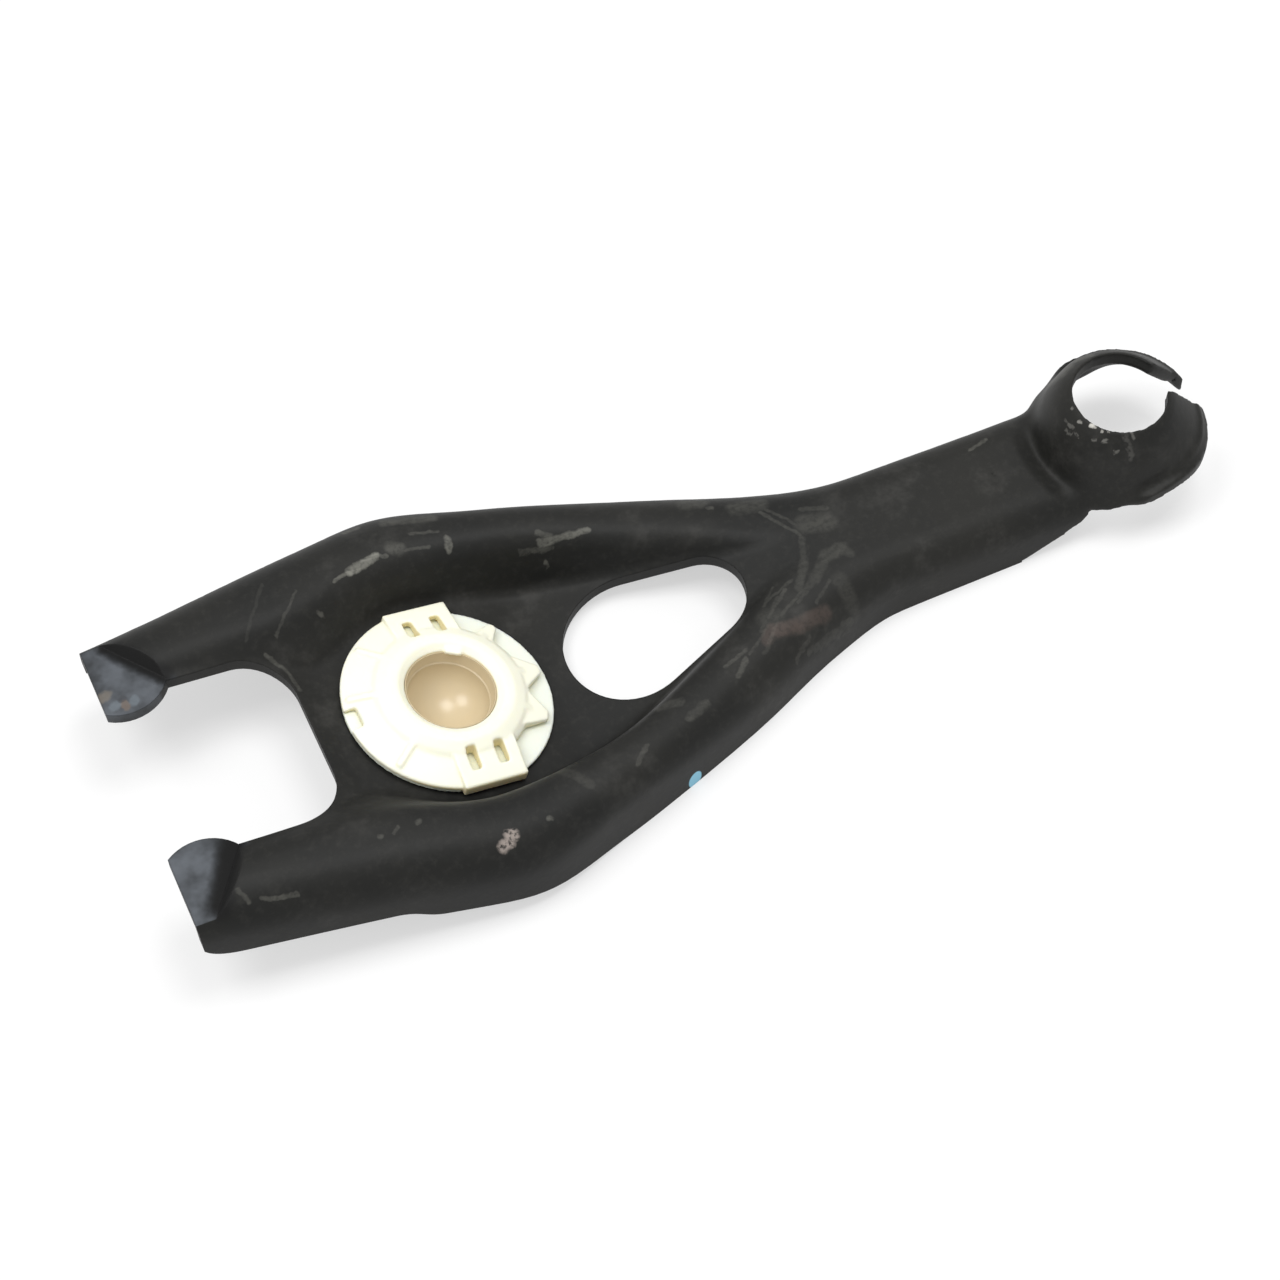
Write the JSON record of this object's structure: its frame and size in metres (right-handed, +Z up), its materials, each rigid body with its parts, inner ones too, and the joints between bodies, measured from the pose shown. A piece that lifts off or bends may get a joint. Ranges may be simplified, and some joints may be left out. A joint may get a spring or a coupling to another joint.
{
  "type": "clutch release fork",
  "caption": "Pressed sheet-steel clutch fork with a recessed pan, teardrop window, snapped-in plastic ball socket and a half-ball seat with a slotted eye.",
  "frame": {"origin": "centre of the bounding box in plan, on the face the fork lies on", "axes": "+X from the arm tips to the eye, +Y across the arms, +Z up through the open side of the ball socket"},
  "size_m": [0.2482, 0.0942, 0.0278],
  "materials": {
    "painted_steel": "satin",
    "cream_plastic": "satin",
    "white_plastic": "satin",
    "tan_plastic": "gloss"
  },
  "bodies": {
    "root": {"fork": "painted_steel", "base_flange": "white_plastic", "socket_cage": "cream_plastic", "ball_cup": "tan_plastic"}
  },
  "joints": []
}
